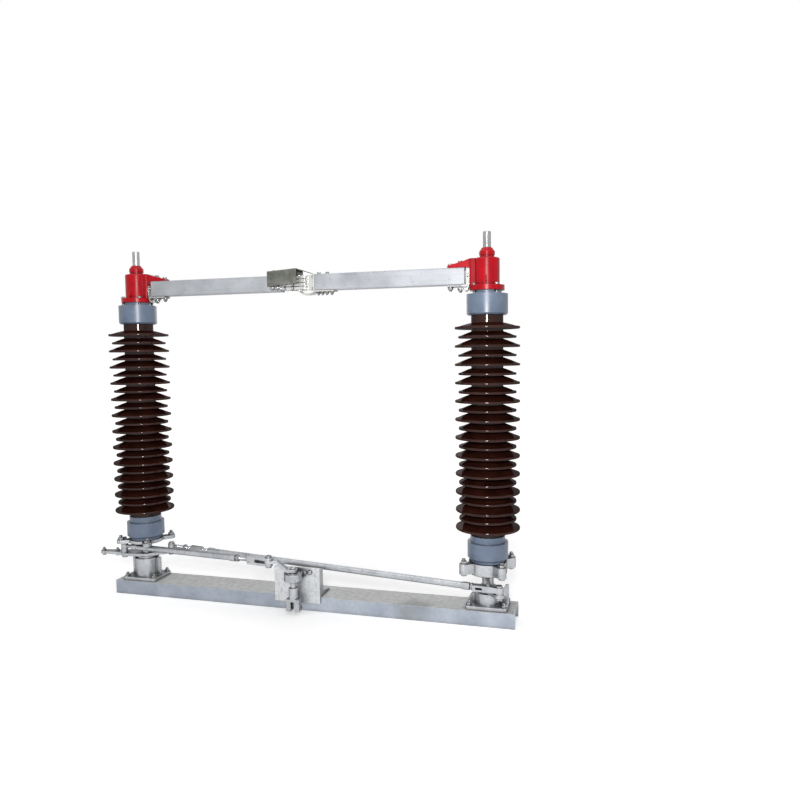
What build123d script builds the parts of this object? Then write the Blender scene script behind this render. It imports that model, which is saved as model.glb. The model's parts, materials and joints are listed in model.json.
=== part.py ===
from build123d import *
import os
from math import cos, radians, sin

# Single pole of a two-column centre-break disconnect switch, standing on its channel base.
# X runs along the base, Y to the back and Z up. The origin is under the middle of the base, at ground level.
# All lengths are in millimetres and all angles in degrees.

# Base channel, laid with its web up and its flanges down
column_spacing = 1510.0
channel_overhang = 110.0
channel_width = 140.0
channel_height = 58.0
channel_web = 7.0
channel_flange = 9.0
channel_root_radius = 8.0
base_hole_radius = 7.0
base_hole_inset = 15.0
base_hole_spread = 84.0

# Bearing seats that carry the two columns
seat_plate_length = 160.0
seat_plate_width = 122.0
seat_plate_thickness = 14.0
seat_plate_corner = 10.0
seat_housing_radius = 50.0
seat_cap_radius = 40.0
seat_cap_height = 8.0
seat_rib_thickness = 12.0
seat_rib_toe = 8.0
seat_rib_drop = 14.0
horn_tip = 12.0
left_horn_reach = 68.0
right_horn_reach = 80.0
left_horn_rise = -8.0
right_horn_rise = 22.0
left_seat_height = 100.0
right_seat_height = 66.0

# Turning spindles and the turntables on them
spindle_radius = 22.0
spindle_cover = 7.0
cap_lift = 177.0
drum_radius = 73.0
left_drum_height = 14.0
right_drum_height = 46.0
drum_chamfer = 3.0
skirt_radius = 42.0
skirt_height = 3.0
lug_angle = 37.0
lug_bolt_radius = 104.0
lug_end_radius = 17.0
lug_root_radius = 20.0
left_lug_thickness = 14.0
right_lug_thickness = 38.0
lug_hole_radius = 9.0
lug_count = 4

# Levers on the spindles, with raised bosses under the link ends
lever_thickness = 12.0
lever_hub_radius = 36.0
lever_end_radius = 17.0
lever_boss_height = 7.0
drive_boss_height = 19.0
drive_rise = 16.0
lever_boss_radius = 14.0
cross_lever_length = 104.0
cross_lever_angle = 31.0
drive_lever_angle = 198.0
drive_lever_length = 95.0
stop_arm_angle = 186.0
stop_arm_length = 205.0
stop_arm_end_radius = 14.0
stop_arm_hole_radius = 6.0

# Porcelain columns and their end caps
cap_foot_radius = 64.0
cap_foot_height = 8.0
lower_cap_bevel = 10.0
upper_cap_bevel = 6.0
cap_radius = 77.5
lower_cap_height = 69.0
cap_ring_radius = 66.0
cap_ring_height = 25.0
cap_socket_radius = 58.5
cap_socket_depth = 60.0
cement_gap = 0.2
porcelain_core_radius = 60.0
porcelain_length = 834.0
shed_count = 12
shed_low_margin = 24.0
shed_high_margin = 47.0
shed_radius = 122.0
shed_rise = 27.0
small_shed_radius = 109.0
small_shed_rise = 21.0
shed_edge = 4.0
shed_undercut = 6.0
shed_knee_share = 0.4
shed_knee_rise_share = 0.36
upper_cap_height = 78.0
upper_cap_ring_radius = 54.0
upper_cap_ring_height = 13.0

# Terminal housings and their swivelling studs
housing_flange_radius = 65.0
housing_flange_height = 19.0
housing_radius = 47.0
housing_height = 101.0
housing_block_length = 63.0
housing_block_width = 44.0
housing_block_corner = 6.0
housing_edge = 3.0
housing_rib_thickness = 9.0
housing_rib_height = 34.0
boss_neck_radius = 27.5
boss_neck_height = 11.0
boss_radius = 29.5
boss_rim_height = 13.0
boss_top_radius = 19.5
boss_height = 38.0
beak_length = 147.0
beak_tip_thickness = 8.0
beak_knee = 90.0
beak_knee_thickness = 22.0
beak_arch_radius = 10.0
beak_width = 38.0
stud_radius = 14.5
stud_height = 60.0
stud_shank_length = 55.0
stud_shank_radius = 12.0
stud_chamfer = 1.5

# Arms, their clamp plates and the centre contact
arm_height = 65.0
arm_width = 40.0
arm_wall = 4.0
arm_corner = 4.0
arm_lift = 56.0
arm_start = 82.0
left_arm_setback = 73.0
right_arm_setback = 71.0
arm_clamp_length = 74.0
arm_clamp_thickness = 7.0
tongue_length = 30.0
carrier_length = 34.0
carrier_width = 30.0
finger_count = 4
finger_height = 11.0
finger_pitch = 14.5
finger_thickness = 7.0
finger_root_gap = 8.0
finger_lap = 34.0
finger_flare_length = 30.0
finger_flare = 8.0
contact_gap = 0.3
contact_head_height = 60.0
contact_neck_width = 18.0
contact_flange_thickness = 6.0
guide_thickness = 5.0
guide_width = 44.0
guide_drop = 10.0
guide_start = 8.0
guide_ramp = 14.0
guide_foot_length = 84.0
hood_back = 125.0
hood_lap = 1.0
hood_width = 72.0
hood_sheet = 3.0
hood_height = 60.0
hood_rise = 16.0
hood_slope_rise = 8.0
hood_flap_length = 46.0
hood_flap_drop = 16.0
hood_flap_width = 60.0
hood_saddle_length = 36.0
hood_saddle_width = 30.0

# Drive bracket, shaft and crank on the front of the base
bracket_length = 196.0
bracket_above = 121.0
bracket_below = 24.0
bracket_thickness = 8.0
bracket_corner = 5.0
gusset_thickness = 8.0
gusset_depth = 100.0
gusset_height = 112.0
gusset_toe = 6.0
gusset_waist = 28.0
gusset_knee = 22.0
drive_offset = -5.0
bearing_radius = 36.0
bearing_height = 28.0
bearing_foot_width = 56.0
bearing_gap = 1.0
bearing_lift = 80.0
shaft_radius = 11.0
shaft_foot = 16.0
crank_thickness = 12.0
crank_lift = 5.0
crank_knee = 20.0
crank_flat = 33.0
crank_hub_radius = 18.0
crank_end_radius = 17.0
coupling_radius = 18.0
coupling_height = 91.0
coupling_block_length = 56.0
coupling_block_width = 30.0
coupling_block_height = 46.0
coupling_block_corner = 5.0
coupling_slot = 14.0
coupling_slot_depth = 36.0
coupling_hole_height = 18.0
coupling_hole_radius = 5.0

# Link rods
link_tube_radius = 12.5
link_eye_radius = 15.0
link_eye_thickness = 20.0
link_shank_radius = 8.0
link_shank_length = 46.0
cross_shank_length = 200.0
fork_shank_length = 65.0
block_start = 22.0
block_end = 100.0
block_width = 28.0
block_height = 22.0
block_window_start = 62.0
block_window_end = 88.0
block_window_height = 9.0
block_shank_length = 12.0
link_sleeve_radius = 14.5
link_sleeve_length = 26.0
fork_width = 34.0
fork_tine = 10.0
fork_slot_depth = 56.0
fork_back = 36.0
pin_radius = 8.0
pin_head_radius = 12.0
pin_head_height = 7.0
ball_radius = 10.0
ball_stack = 14.0
ball_nut_radius = 9.5
nut_radius = 12.0
nut_height = 8.0

# Clearances, and the overrun that carries every cut past its faces
running_gap = 0.05
thrust_gap = 0.3
overrun = 5.0

# Places worked out from the sizes above
half_spacing = column_spacing / 2
left_x = -half_spacing
right_x = half_spacing
channel_length = column_spacing + 2 * channel_overhang
beam_top = channel_height
front_face = -channel_width / 2
cap_z = beam_top + cap_lift
lower_cap_top = cap_z + cap_foot_height + lower_cap_height + cap_ring_height
porcelain_top = lower_cap_top + porcelain_length
shed_pitch = (porcelain_length - shed_low_margin - shed_high_margin) / (shed_count - 1)
upper_cap_top = porcelain_top + upper_cap_height + upper_cap_ring_height
housing_top = upper_cap_top + housing_flange_height + housing_height
boss_top = housing_top + boss_height
stud_top = boss_top + stud_height
arm_z = upper_cap_top + arm_lift
arm_top = arm_z + arm_height / 2
arm_low = arm_z - arm_height / 2
left_lever_z = beam_top + left_seat_height + thrust_gap
right_lever_z = beam_top + right_seat_height + thrust_gap
lever_boss_top = lever_thickness + lever_boss_height
left_eye_z = left_lever_z + lever_boss_top + thrust_gap + link_eye_thickness / 2
drive_eye_z = left_eye_z + drive_boss_height - lever_boss_height
drive_fork_z = drive_eye_z + drive_rise
right_eye_z = right_lever_z + lever_boss_top + thrust_gap + link_eye_thickness / 2
contact_head_radius = carrier_width / 2 - contact_gap
left_arm_end = half_spacing - left_arm_setback
right_arm_end = half_spacing - right_arm_setback
finger_start = left_arm_end + finger_root_gap
finger_end = half_spacing + finger_lap
hood_start = half_spacing - hood_back
hood_end = half_spacing + hood_lap
drive_y = front_face - bracket_thickness - bearing_gap - bearing_radius
bearing_z = beam_top + bearing_lift
crank_z = bearing_z + bearing_height + crank_lift
crank_end_z = drive_fork_z - crank_thickness / 2
drive_lever_x = drive_lever_length * cos(radians(drive_lever_angle))
drive_lever_y = drive_lever_length * sin(radians(drive_lever_angle))
cross_left_x = left_x + cross_lever_length * cos(radians(cross_lever_angle))
cross_left_y = cross_lever_length * sin(radians(cross_lever_angle))
cross_right_angle = cross_lever_angle - 90
cross_right_x = right_x + cross_lever_length * cos(radians(cross_right_angle))
cross_right_y = cross_lever_length * sin(radians(cross_right_angle))


def turned(points):
    """Solid of revolution about Z from (radius, height) points."""
    outline = Polyline(*[(r, 0, z) for r, z in points], close=True)
    return revolve(make_face(outline), Axis.Z)


def profile(points):
    """Flat outline through (across, up) points."""
    return make_face(Polyline(*points, close=True))


def side_plate(points, width):
    """Plate with an outline of (x, z) points, as wide as given and centred on Y."""
    return extrude(Plane.XZ * profile(points), width / 2, both=True)


def disc(radius, height, z):
    """Upright cylinder that starts at height z."""
    return Pos(0, 0, z) * Cylinder(radius, height, align=(Align.CENTER, Align.CENTER, Align.MIN))


def block(length, width, height, x, z):
    """Block that starts at x and at height z, centred on Y."""
    return Pos(x, 0, z) * Box(length, width, height, align=(Align.MIN, Align.CENTER, Align.MIN))


def polar(reach, angle):
    """Offset in the plan at a reach and an angle from X."""
    return Pos(reach * cos(radians(angle)), reach * sin(radians(angle)), 0)


def tapered_arm(root_radius, end_radius, reach, angle):
    """Plan of a bar that tapers from a round root at the origin to a round end."""
    tip = polar(reach, angle) * Circle(end_radius)
    return make_hull(Circle(root_radius).edges() + tip.edges())


def at_left(shape):
    """Shape of the left column, with its arm towards +X."""
    return Pos(left_x, 0, 0) * shape


def at_right(shape):
    """Shape of the right column, with its arm towards -X."""
    return Pos(right_x, 0, 0) * Rot(0, 0, 180) * shape


def base_channel():
    """Rolled channel with rounded roots and four fixing holes in its web."""
    inner_width = channel_width - 2 * channel_flange
    inner_height = channel_height - channel_web
    section = Rectangle(channel_width, channel_height, align=(Align.CENTER, Align.MIN))
    hollow = Rectangle(inner_width, inner_height, align=(Align.CENTER, Align.MIN))
    hollow = fillet(hollow.vertices().group_by(Axis.Y)[-1], channel_root_radius)
    beam = extrude(Plane.YZ * (section - hollow), amount=channel_length / 2, both=True)
    hole_x = channel_length / 2 - base_hole_inset
    for x in (-hole_x, hole_x):
        for y in (-base_hole_spread / 2, base_hole_spread / 2):
            cut_height = channel_web + 2 * overrun
            beam -= Pos(x, y, 0) * disc(base_hole_radius, cut_height, beam_top - channel_web - overrun)
    return beam


def bearing_seat(height, horn_reach, horn_rise, second_horn):
    """Foot plate with a round bearing housing, an upright horn and, opposite it, a second one or a rib."""
    plan = RectangleRounded(seat_plate_length, seat_plate_width, seat_plate_corner)
    seat = extrude(Pos(0, 0, beam_top) * plan, seat_plate_thickness)
    plate_top = beam_top + seat_plate_thickness
    seat_top = beam_top + height
    seat += disc(seat_housing_radius, height - seat_plate_thickness - seat_cap_height, plate_top)
    seat += disc(seat_cap_radius, seat_cap_height, seat_top - seat_cap_height)
    toe_x = seat_plate_length / 2
    rib_top = seat_top - seat_rib_drop
    horn_top = seat_top + horn_rise
    rib = [(0, plate_top), (toe_x, plate_top), (toe_x, plate_top + seat_rib_toe)]
    rib += [(seat_housing_radius, rib_top), (0, rib_top)]
    horn = [(0, plate_top), (horn_reach, plate_top), (horn_reach, horn_top)]
    horn += [(horn_reach - horn_tip, horn_top), (seat_housing_radius, rib_top), (0, rib_top)]
    seat += side_plate(horn, seat_rib_thickness)
    seat += Rot(0, 0, 180) * side_plate(horn if second_horn else rib, seat_rib_thickness)
    bore_radius = spindle_radius + running_gap
    return seat - disc(bore_radius, height + 2 * overrun, beam_top - overrun)


def spindle():
    """Shaft from the foot of the seat up into the turntable."""
    return disc(spindle_radius, cap_lift - spindle_cover, beam_top)


def turntable(drum_height, lug_thickness):
    """Round table on a short skirt, with four lugs for the column's bolts."""
    drum_z = cap_z - drum_height
    table = turned([
        (0, drum_z - skirt_height),
        (skirt_radius, drum_z - skirt_height),
        (skirt_radius, drum_z),
        (drum_radius - drum_chamfer, drum_z),
        (drum_radius, drum_z + drum_chamfer),
        (drum_radius, cap_z),
        (0, cap_z),
    ])
    lug_z = cap_z - lug_thickness
    hole = disc(lug_hole_radius, drum_height + 2 * overrun, drum_z - overrun)
    for index in range(lug_count):
        angle = lug_angle + index * 360 / lug_count
        hub = polar(drum_radius - lug_root_radius, angle) * Circle(lug_root_radius)
        tip = polar(lug_bolt_radius, angle) * Circle(lug_end_radius)
        ear = make_hull(hub.edges() + tip.edges())
        table += extrude(Pos(0, 0, lug_z) * ear, lug_thickness)
        table -= polar(lug_bolt_radius, angle) * hole
    bore_z = drum_z - skirt_height - overrun
    return table - disc(spindle_radius + running_gap, cap_z - spindle_cover - bore_z, bore_z)


def lever_plate(z, arms):
    """Flat lever with a tapered arm for each (reach, angle, end radius)."""
    plan = Circle(lever_hub_radius)
    for reach, angle, end_radius in arms:
        plan += tapered_arm(lever_hub_radius, end_radius, reach, angle)
    plate = extrude(Pos(0, 0, z) * plan, lever_thickness)
    return plate - disc(spindle_radius + running_gap, lever_thickness + 2 * overrun, z - overrun)


def lever_boss(plate, z, height, reach, angle):
    """Lever with a raised boss, bored for a pin, at one arm's end."""
    plate += polar(reach, angle) * disc(lever_boss_radius, height, z + lever_thickness)
    bore = disc(pin_radius + running_gap, lever_thickness + height + 2 * overrun, z - overrun)
    return plate - polar(reach, angle) * bore


def left_lever():
    """Lever of the left column: drive arm, cross-link arm and the long stop arm."""
    arms = [
        (drive_lever_length, drive_lever_angle, lever_end_radius),
        (cross_lever_length, cross_lever_angle, lever_end_radius),
        (stop_arm_length, stop_arm_angle, stop_arm_end_radius),
    ]
    plate = lever_plate(left_lever_z, arms)
    plate = lever_boss(plate, left_lever_z, drive_boss_height, drive_lever_length, drive_lever_angle)
    plate = lever_boss(plate, left_lever_z, lever_boss_height, cross_lever_length, cross_lever_angle)
    hole = disc(stop_arm_hole_radius, lever_thickness + 2 * overrun, left_lever_z - overrun)
    return plate - polar(stop_arm_length, stop_arm_angle) * hole


def right_lever():
    """Lever of the right column with its one cross-link arm."""
    plate = lever_plate(right_lever_z, [(cross_lever_length, cross_right_angle, lever_end_radius)])
    return lever_boss(plate, right_lever_z, lever_boss_height, cross_lever_length, cross_right_angle)


def lower_cap():
    """Cast cap under the porcelain, with a bevelled foot and a socket on top."""
    socket = cap_socket_radius + cement_gap
    body_z = cap_z + cap_foot_height
    return turned([
        (0, cap_z),
        (cap_foot_radius, cap_z),
        (cap_foot_radius, body_z),
        (cap_radius, body_z + lower_cap_bevel),
        (cap_radius, body_z + lower_cap_height),
        (cap_ring_radius, body_z + lower_cap_height),
        (cap_ring_radius, lower_cap_top),
        (socket, lower_cap_top),
        (socket, lower_cap_top - cap_socket_depth),
        (0, lower_cap_top - cap_socket_depth),
    ])


def upper_cap():
    """Cast cap over the porcelain, with a narrower ring that takes the housing."""
    socket = cap_socket_radius + cement_gap
    ring_z = porcelain_top + upper_cap_height
    return turned([
        (socket, porcelain_top),
        (cap_radius - upper_cap_bevel, porcelain_top),
        (cap_radius, porcelain_top + upper_cap_bevel),
        (cap_radius, ring_z),
        (upper_cap_ring_radius, ring_z),
        (upper_cap_ring_radius, upper_cap_top),
        (0, upper_cap_top),
        (0, porcelain_top + cap_socket_depth),
        (socket, porcelain_top + cap_socket_depth),
    ])


def shed(radius, rise, z):
    """Outline points of one shed, from its underside out to its edge and up its hollow top to the core."""
    edge_z = z + shed_edge / 2
    knee_radius = porcelain_core_radius + shed_knee_share * (radius - porcelain_core_radius)
    knee_z = edge_z + shed_knee_rise_share * (z + rise - edge_z)
    return [
        (porcelain_core_radius, z + shed_undercut),
        (radius, z - shed_edge / 2),
        (radius, edge_z),
        (knee_radius, knee_z),
        (porcelain_core_radius, z + rise),
    ]


def porcelain():
    """Solid-core insulator with large and small sheds in turn and a plain end in each cap."""
    low_end = lower_cap_top - cap_socket_depth
    high_end = porcelain_top + cap_socket_depth
    outline = [(0, low_end), (cap_socket_radius, low_end), (cap_socket_radius, lower_cap_top)]
    outline += [(porcelain_core_radius, lower_cap_top)]
    for index in range(shed_count):
        z = lower_cap_top + shed_low_margin + index * shed_pitch
        outline += shed(shed_radius, shed_rise, z)
        if index < shed_count - 1:
            outline += shed(small_shed_radius, small_shed_rise, z + shed_pitch / 2)
    outline += [(porcelain_core_radius, porcelain_top), (cap_socket_radius, porcelain_top)]
    outline += [(cap_socket_radius, high_end), (0, high_end)]
    return turned(outline)


def terminal_housing():
    """Cast housing: round body, a bracket that sweeps out into a beak over the arm, and the stud's boss."""
    body_z = upper_cap_top + housing_flange_height
    housing = disc(housing_flange_radius, housing_flange_height, upper_cap_top)
    housing += turned([
        (0, body_z),
        (housing_radius, body_z),
        (housing_radius, housing_top - housing_edge),
        (housing_radius - housing_edge, housing_top),
        (0, housing_top),
    ])
    block_plan = Rectangle(housing_block_length, housing_block_width, align=(Align.MIN, Align.CENTER))
    block_plan = fillet(block_plan.vertices().group_by(Axis.X)[-1], housing_block_corner)
    housing += extrude(Pos(0, 0, body_z) * block_plan, housing_height)
    sweep = profile([
        (0, body_z),
        (housing_block_length, body_z),
        (housing_block_length, arm_top),
        (beak_length, arm_top),
        (beak_length, arm_top + beak_tip_thickness),
        (beak_knee, arm_top + beak_knee_thickness),
        (housing_block_length, housing_top),
        (0, housing_top),
    ])
    corner = sweep.vertices().sort_by_distance((housing_block_length, arm_top, 0))[0]
    housing += extrude(Plane.XZ * fillet(corner, beak_arch_radius), beak_width / 2, both=True)
    rib = [
        (-housing_flange_radius, body_z),
        (housing_flange_radius, body_z),
        (housing_radius, body_z + housing_rib_height),
        (-housing_radius, body_z + housing_rib_height),
    ]
    housing += Rot(0, 0, 90) * side_plate(rib, housing_rib_thickness)
    rim_z = housing_top + boss_neck_height
    housing += turned([
        (0, housing_top),
        (boss_neck_radius, housing_top),
        (boss_neck_radius, rim_z),
        (boss_radius, rim_z),
        (boss_radius, rim_z + boss_rim_height),
        (boss_top_radius, boss_top),
        (0, boss_top),
    ])
    bore_depth = stud_shank_length + thrust_gap
    return housing - disc(stud_shank_radius + running_gap, bore_depth + overrun, boss_top - bore_depth)


def terminal_stud():
    """Stud with a shoulder over the boss and a thinner shank that turns in it."""
    low_end = boss_top - stud_shank_length
    shoulder_z = boss_top + thrust_gap
    return turned([
        (0, low_end),
        (stud_shank_radius, low_end),
        (stud_shank_radius, shoulder_z),
        (stud_radius, shoulder_z),
        (stud_radius, stud_top - stud_chamfer),
        (stud_radius - stud_chamfer, stud_top),
        (0, stud_top),
    ])


def arm(end):
    """Rectangular tube from beside the housing out to its end."""
    outer = RectangleRounded(arm_width, arm_height, arm_corner)
    inner = Rectangle(arm_width - 2 * arm_wall, arm_height - 2 * arm_wall)
    start_plane = Plane(origin=(arm_start, 0, arm_z), x_dir=(0, 1, 0), z_dir=(1, 0, 0))
    return extrude(start_plane * (outer - inner), end - arm_start)


def arm_clamp():
    """Plate under the arm that the beak's bolts draw up."""
    start = beak_length - arm_clamp_length
    clamp_z = arm_low - arm_clamp_thickness
    return block(arm_clamp_length, arm_width, arm_clamp_thickness, start, clamp_z)


def tongue(end):
    """Block that plugs the end of an arm."""
    width = arm_width - 2 * arm_wall - 2 * thrust_gap
    height = arm_height - 2 * arm_wall - 2 * thrust_gap
    return block(tongue_length, width, height, end - tongue_length, arm_z - height / 2)


def contact_carrier():
    """Block at the end of the left arm that the fingers are fixed to."""
    height = finger_pitch * (finger_count - 1) + finger_height
    carrier = tongue(left_arm_end)
    return carrier + block(carrier_length, carrier_width, height, left_arm_end, arm_z - height / 2)


def contact_fingers(side):
    """Row of fingers on one side of the jaw, flared at the mouth."""
    inner = carrier_width / 2
    outer = inner + finger_thickness
    flare_x = finger_end - finger_flare_length
    plan = [(finger_start, inner), (flare_x, inner), (finger_end, inner + finger_flare)]
    plan += [(finger_end, outer + finger_flare), (flare_x, outer), (finger_start, outer)]
    outline = Polyline(*[(x, side * y, 0) for x, y in plan], close=True)
    fingers = []
    for index in range(finger_count):
        z = arm_z + (index - (finger_count - 1) / 2) * finger_pitch
        face = Pos(0, 0, z) * make_face(outline)
        fingers.append(extrude(face, finger_height / 2, dir=(0, 0, 1), both=True))
    return Compound(children=fingers)


def contact_head():
    """Round contact on a neck that plugs the end of the right arm."""
    neck_length = half_spacing - right_arm_end
    head_z = arm_z - contact_head_height / 2
    head = Pos(half_spacing, 0, 0) * disc(contact_head_radius, contact_head_height, head_z)
    head += block(neck_length, contact_neck_width, contact_head_height, right_arm_end, head_z)
    head += block(contact_flange_thickness, arm_width, arm_height, right_arm_end, arm_low)
    return head + tongue(right_arm_end)


def contact_guide():
    """Bent plate under the right arm that guides the finger ends from below."""
    foot_start = right_arm_end - guide_foot_length
    drop_x = right_arm_end + guide_ramp
    end_x = half_spacing - guide_start
    upper = [
        (foot_start, arm_low),
        (right_arm_end, arm_low),
        (drop_x, arm_low - guide_drop),
        (end_x - guide_ramp, arm_low - guide_drop),
        (end_x, arm_low),
    ]
    lower = [(x, z - guide_thickness) for x, z in reversed(upper)]
    return side_plate(upper + lower, guide_width)


def contact_hood():
    """Sloping rain hood over the jaw on a saddle on the arm, with a flap that falls away over the contact."""
    low_z = arm_top + hood_rise - hood_height
    high_z = arm_top + hood_rise
    outer = [
        (hood_start, low_z),
        (hood_end, low_z + hood_slope_rise),
        (hood_end, high_z + hood_slope_rise),
        (hood_start, high_z),
    ]
    slope = hood_slope_rise / (hood_end - hood_start)
    inner = [
        (hood_start - overrun, low_z - overrun - slope * overrun),
        (hood_end + overrun, low_z + hood_slope_rise - overrun + slope * overrun),
        (hood_end + overrun, high_z + hood_slope_rise - hood_sheet + slope * overrun),
        (hood_start - overrun, high_z - hood_sheet - slope * overrun),
    ]
    hood = side_plate(outer, hood_width) - side_plate(inner, hood_width - 2 * hood_sheet)
    saddle_end = hood_start + hood_saddle_length
    saddle = [
        (hood_start, arm_top),
        (saddle_end, arm_top),
        (saddle_end, high_z + slope * hood_saddle_length - hood_sheet / 2),
        (hood_start, high_z - hood_sheet / 2),
    ]
    hood += side_plate(saddle, hood_saddle_width)
    flap_z = high_z + hood_slope_rise
    flap_end = hood_end + hood_flap_length
    flap = [(hood_end - hood_sheet, flap_z - hood_sheet), (hood_end, flap_z)]
    flap += [(flap_end, flap_z - hood_flap_drop), (flap_end, flap_z - hood_flap_drop - hood_sheet)]
    return hood + side_plate(flap, hood_flap_width)


def drive_bracket():
    """Plate on the front flange of the base for the drive shaft's bearing, with gussets down to the web."""
    height = bracket_above + bracket_below
    plan = RectangleRounded(bracket_length, height, bracket_corner)
    centre_z = beam_top + (bracket_above - bracket_below) / 2
    face = Pos(drive_offset, front_face, centre_z) * (Plane.XZ * plan)
    bracket = extrude(face, bracket_thickness, dir=(0, -1, 0))
    outline = [(0, 0), (gusset_depth, 0), (gusset_depth, gusset_toe), (gusset_waist, gusset_knee)]
    gusset = Plane.YZ * profile(outline + [(gusset_waist, gusset_height), (0, gusset_height)])
    for x in (-bracket_length / 2, bracket_length / 2 - gusset_thickness):
        place = Pos(drive_offset + x, front_face, beam_top)
        bracket += extrude(place * gusset, gusset_thickness, dir=(1, 0, 0))
    return bracket


def drive_bearing():
    """Round bearing with a foot on the bracket."""
    foot_depth = bearing_radius + bearing_gap
    bearing = disc(bearing_radius, bearing_height, bearing_z)
    foot = Box(bearing_foot_width, foot_depth, bearing_height, align=(Align.CENTER, Align.MIN, Align.MIN))
    bearing += Pos(0, 0, bearing_z) * foot
    bearing -= disc(shaft_radius + running_gap, bearing_height + 2 * overrun, bearing_z - overrun)
    return Pos(drive_offset, drive_y, 0) * bearing


def drive_shaft():
    """Upright drive shaft from its coupling up through the crank."""
    low_end = shaft_foot + coupling_slot_depth
    shaft = disc(shaft_radius, crank_z + crank_thickness - low_end, low_end)
    return Pos(drive_offset, drive_y, 0) * shaft


def drive_crank():
    """Crank with a hub on the drive shaft, bent up to the fork's height at its end."""
    flat_x = drive_lever_length - crank_flat
    end_x = drive_lever_length + crank_end_radius
    lower = [(0, crank_z), (crank_knee, crank_z), (flat_x, crank_end_z), (end_x, crank_end_z)]
    upper = [(x, z + crank_thickness) for x, z in reversed(lower)]
    bar = side_plate(lower + upper, 2 * crank_hub_radius)
    plan = tapered_arm(crank_hub_radius, crank_end_radius, drive_lever_length, 0)
    crank = bar & extrude(Pos(0, 0, crank_z) * plan, crank_end_z + crank_thickness - crank_z)
    hub_z = bearing_z + bearing_height + thrust_gap
    hub_height = crank_z + crank_thickness - hub_z
    crank += disc(crank_hub_radius, hub_height, hub_z)
    crank -= disc(shaft_radius + running_gap, hub_height + 2 * overrun, hub_z - overrun)
    bore = disc(pin_radius + running_gap, crank_thickness + 2 * overrun, crank_end_z - overrun)
    crank -= Pos(drive_lever_length, 0, 0) * bore
    return Pos(drive_offset, drive_y, 0) * Rot(0, 0, drive_lever_angle) * crank


def drive_coupling():
    """Coupling at the foot of the drive shaft: a sleeve on a block that is slotted for a flat rod end."""
    plan = RectangleRounded(coupling_block_length, coupling_block_width, coupling_block_corner)
    coupling = extrude(Pos(0, 0, shaft_foot) * plan, coupling_block_height)
    sleeve_z = shaft_foot + coupling_block_height
    coupling += disc(coupling_radius, coupling_height - coupling_block_height, sleeve_z)
    from_below = (Align.CENTER, Align.CENTER, Align.MIN)
    slot_width = coupling_block_width + 2 * overrun
    slot = Box(coupling_slot, slot_width, coupling_slot_depth + overrun, align=from_below)
    coupling -= Pos(0, 0, shaft_foot - overrun) * slot
    bore_z = shaft_foot + coupling_slot_depth - overrun
    coupling -= disc(shaft_radius + running_gap, coupling_height, bore_z)
    cross_hole = Rot(0, 90, 0) * Cylinder(coupling_hole_radius, coupling_block_length + 2 * overrun)
    coupling -= Pos(0, 0, shaft_foot + coupling_hole_height) * cross_hole
    return Pos(drive_offset, drive_y, 0) * coupling


def rod_between(start, end, radius, from_start, to_end):
    """Round bar on the line between two points, set in from each of them."""
    line = Vector(end) - Vector(start)
    plane = Plane(origin=Vector(start) + line.normalized() * from_start, z_dir=line)
    return extrude(plane * Circle(radius), line.length - from_start - to_end)


def link_eye(centre, towards, shank_length):
    """Flat eye on a pin, with a shank along the rod."""
    eye_z = -link_eye_thickness / 2
    eye = Pos(*centre) * disc(link_eye_radius, link_eye_thickness, eye_z)
    shank_end = rod_length(centre, towards) - shank_length
    eye += rod_between(centre, towards, link_shank_radius, 0, shank_end)
    bore = disc(pin_radius + running_gap, link_eye_thickness + 2 * overrun, eye_z - overrun)
    return eye - Pos(*centre) * bore


def block_eye(centre, towards):
    """Eye on a pin with a windowed block behind it and a shank along the rod."""
    line = Vector(towards) - Vector(centre)
    flat = Plane(origin=centre, x_dir=(line.X, line.Y, 0), z_dir=(0, 0, 1))
    from_end = (Align.MIN, Align.CENTER, Align.CENTER)
    neck = Box(block_end, block_width, link_eye_thickness, align=from_end)
    body = Box(block_end - block_start, block_width, block_height, align=from_end)
    window_length = block_window_end - block_window_start
    window = Box(window_length, block_width + 2 * overrun, block_window_height, align=from_end)
    eye = neck + Pos(block_start, 0, 0) * body - Pos(block_window_start, 0, 0) * window
    eye += disc(link_eye_radius, link_eye_thickness, -link_eye_thickness / 2)
    eye -= disc(pin_radius + running_gap, link_eye_thickness + 2 * overrun, -link_eye_thickness / 2 - overrun)
    shank_end = rod_length(centre, towards) - block_end - block_shank_length
    return flat * eye + rod_between(centre, towards, link_shank_radius, block_window_end, shank_end)


def rod_length(start, end):
    """Distance between two points."""
    return (Vector(end) - Vector(start)).length


def link_tube(start, end, start_inset, end_inset):
    """Rod of a link with a thicker sleeve at each end."""
    tube = rod_between(start, end, link_tube_radius, start_inset, end_inset)
    sleeve_far = rod_length(start, end) - link_sleeve_length
    tube += rod_between(start, end, link_sleeve_radius, start_inset, sleeve_far - start_inset)
    return tube + rod_between(start, end, link_sleeve_radius, sleeve_far - end_inset, end_inset)


def drive_fork(centre, towards):
    """Fork over the crank, with a shank along the rod."""
    height = crank_thickness + 2 * fork_tine + 2 * thrust_gap
    length = fork_slot_depth + fork_back
    fork = Cylinder(fork_width / 2, height)
    fork += Box(length, fork_width, height, align=(Align.MIN, Align.CENTER, Align.CENTER))
    slot_height = crank_thickness + 2 * thrust_gap
    slot_length = fork_slot_depth + fork_width / 2 + overrun
    slot_align = (Align.MAX, Align.CENTER, Align.CENTER)
    slot = Box(slot_length, fork_width + 2 * overrun, slot_height, align=slot_align)
    fork -= Pos(fork_slot_depth, 0, 0) * slot
    fork -= Cylinder(pin_radius + running_gap, height + 2 * overrun)
    line = Vector(towards) - Vector(centre)
    fork = Plane(origin=centre, x_dir=(line.X, line.Y, 0), z_dir=(0, 0, 1)) * fork
    shank_start = fork_slot_depth + fork_back / 2
    shank_end = line.length - fork_inset
    return fork + rod_between(centre, towards, link_shank_radius, shank_start, shank_end)


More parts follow.
